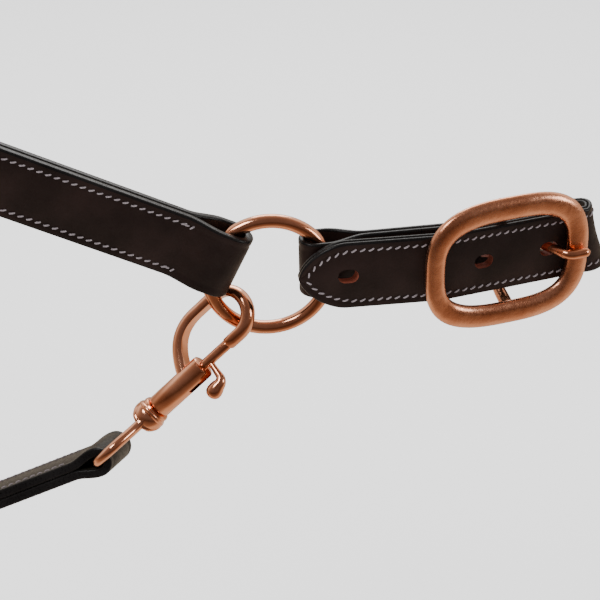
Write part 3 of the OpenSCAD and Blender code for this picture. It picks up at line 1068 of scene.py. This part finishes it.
def snap_strap():
    centre_y = GAP / 2 - END_LOOP_R
    across = eye_up.cross(snap_strap_loop - eye_place).normalized()
    direction = snap_strap_loop - across * (centre_y * MM) - eye_place
    strap = basis(eye_place, direction, eye_up)
    fold = fold_path(
        SNAP_STRAP_LENGTH - 1, 0, *SNAP_STRAP_POCKET, SNAP_STRAP_LAYER, SNAP_STRAP_TURN_BACK
    )
    path = end_loop_path(SNAP_STRAP_LENGTH, SNAP_STRAP_LAYER) + fold
    size = (SNAP_STRAP_WIDTH, SNAP_STRAP_LAYER)
    outer = folded_strap("snap_strap_leather", strap, path, *size, OLIVE)
    finish_piece(outer, "snap_strap", "snap_strap_outer")
    start = SNAP_STRAP_TURN_BACK + 0.1
    end = SNAP_STRAP_LENGTH - END_LOOP_R - SNAP_STRAP_LAYER - 1
    lining_path = straight(start, end, -(SNAP_STRAP_LAYER + GAP) / 2, 360)
    lining = folded_strap("snap_strap_back", strap, lining_path, *size, OLIVE)
    finish_piece(lining, "snap_strap", "snap_strap_lining")
    stitches = Shell()
    face = SNAP_STRAP_LAYER + GAP / 2
    stitch_rows(stitches, 13, end - 2, SNAP_STRAP_WIDTH, face, -face)
    finish_piece(
        stitches.build("snap_strap_thread", strap, [THREAD]), "snap_strap", "snap_strap_stitching"
    )


neck_strap()
chape()
billet_layer("billet_face", BILLET_LAYER + GAP, 2 * BILLET_LAYER + GAP, "billet_outer")
billet_layer("billet_back", 0.0, BILLET_LAYER, "billet_lining")
billet_stitches()
buckle_frame()
buckle_tongue()
o_ring()
snap_body()
snap_bolt()
thumb_stud()
snap_spring()
swivel()
snap_strap()


# ---------------------------------------------------------------- floor, light and camera


def studio():
    low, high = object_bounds()
    floor_z = low[2] - 0.09
    bpy.ops.mesh.primitive_plane_add(size=3.0, location=(0, 0.6, floor_z))
    floor = bpy.context.object
    floor.name = "floor"
    material, nodes, links, shader = new_material("pale_floor")
    shader.inputs["Base Color"].default_value = (0.9, 0.9, 0.9, 1)
    shader.inputs["Roughness"].default_value = 0.9
    shader.inputs["Emission Color"].default_value = (1, 1, 1, 1)
    shader.inputs["Emission Strength"].default_value = 1.1
    floor.data.materials.append(material)
    floor.visible_glossy = False
    floor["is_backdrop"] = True

    world = bpy.data.worlds.new("studio")
    bpy.context.scene.world = world
    world.use_nodes = True
    nodes, links = world.node_tree.nodes, world.node_tree.links
    nodes.clear()
    output = nodes.new("ShaderNodeOutputWorld")
    seen = nodes.new("ShaderNodeBackground")
    seen.inputs["Color"].default_value = (0.96, 0.96, 0.97, 1)
    seen.inputs["Strength"].default_value = 0.62
    mirrored = nodes.new("ShaderNodeBackground")
    place = nodes.new("ShaderNodeTexCoord")
    facing = nodes.new("ShaderNodeVectorMath")
    facing.operation = "DOT_PRODUCT"
    facing.inputs[1].default_value = CAMERA_BACK
    links.new(place.outputs["Generated"], facing.inputs[0])
    shift = nodes.new("ShaderNodeMapRange")
    shift.inputs["From Min"].default_value = -1
    shift.inputs["From Max"].default_value = 1
    links.new(facing.outputs["Value"], shift.inputs["Value"])
    stops = (
        (0.0, (1.0, 0.98, 0.95)), (0.45, (0.9, 0.85, 0.80)), (0.62, (0.35, 0.27, 0.22)),
        (0.78, (0.20, 0.15, 0.13)), (1.0, (0.12, 0.09, 0.08)),
    )
    room = ramp_node(nodes, links, shift.outputs["Result"], stops)
    split = nodes.new("ShaderNodeSeparateXYZ")
    links.new(place.outputs["Generated"], split.inputs["Vector"])
    below = nodes.new("ShaderNodeMapRange")
    below.inputs["From Min"].default_value = -0.35
    below.inputs["From Max"].default_value = 0.35
    links.new(split.outputs["Z"], below.inputs["Value"])
    ground = ((0.0, (0.75, 0.62, 0.50)), (0.35, (0.38, 0.28, 0.20)), (1.0, (1.0, 1.0, 1.0)))
    shade = nodes.new("ShaderNodeMix")
    shade.data_type = "RGBA"
    shade.blend_type = "MULTIPLY"
    shade.inputs["Factor"].default_value = 1.0
    links.new(room, shade.inputs[6])
    links.new(ramp_node(nodes, links, below.outputs["Result"], ground), shade.inputs[7])
    links.new(shade.outputs[2], mirrored.inputs["Color"])
    mirrored.inputs["Strength"].default_value = 1.35
    ray = nodes.new("ShaderNodeLightPath")
    glossy = nodes.new("ShaderNodeMixShader")
    links.new(ray.outputs["Is Glossy Ray"], glossy.inputs["Fac"])
    links.new(seen.outputs["Background"], glossy.inputs[1])
    links.new(mirrored.outputs["Background"], glossy.inputs[2])
    backdrop = nodes.new("ShaderNodeBackground")
    backdrop.inputs["Color"].default_value = (1, 1, 1, 1)
    backdrop.inputs["Strength"].default_value = 1.5
    mix = nodes.new("ShaderNodeMixShader")
    links.new(ray.outputs["Is Camera Ray"], mix.inputs["Fac"])
    links.new(glossy.outputs["Shader"], mix.inputs[1])
    links.new(backdrop.outputs["Background"], mix.inputs[2])
    links.new(mix.outputs["Shader"], output.inputs["Surface"])

    area_light("key", (-0.5, -0.25, 0.8), 0.35, 4.2)
    area_light("fill", (0.8, -0.3, 0.3), 0.3, 2.0)
    area_light("rim", (0.1, 0.7, 0.5), 0.5, 3.0)


def area_light(name, place, size, power):
    light = bpy.data.lights.new(name, "AREA")
    light.size = size
    light.energy = power
    lamp = bpy.data.objects.new(name, light)
    lamp.location = place
    lamp.rotation_euler = (-Vector(place)).to_track_quat("-Z", "Y").to_euler()
    bpy.context.scene.collection.objects.link(lamp)


def camera():
    """Looks down 30 degrees on the show side, with the ring left of the middle."""
    right = Vector((0.9938, -0.1115, 0.0))
    back = Vector(CAMERA_BACK).normalized()
    up = back.cross(right).normalized()
    aim = (right * 11.1 - up * 8.9) * MM
    lens = bpy.data.cameras.new("camera")
    lens.lens = 100
    lens.sensor_width = 36
    lens.clip_start = 0.01
    view = bpy.data.objects.new("camera", lens)
    turn = Matrix((right, up, back)).transposed().to_4x4()
    view.matrix_world = Matrix.Translation(aim + back * 0.592) @ turn
    bpy.context.scene.collection.objects.link(view)
    bpy.context.scene.camera = view


studio()
camera()
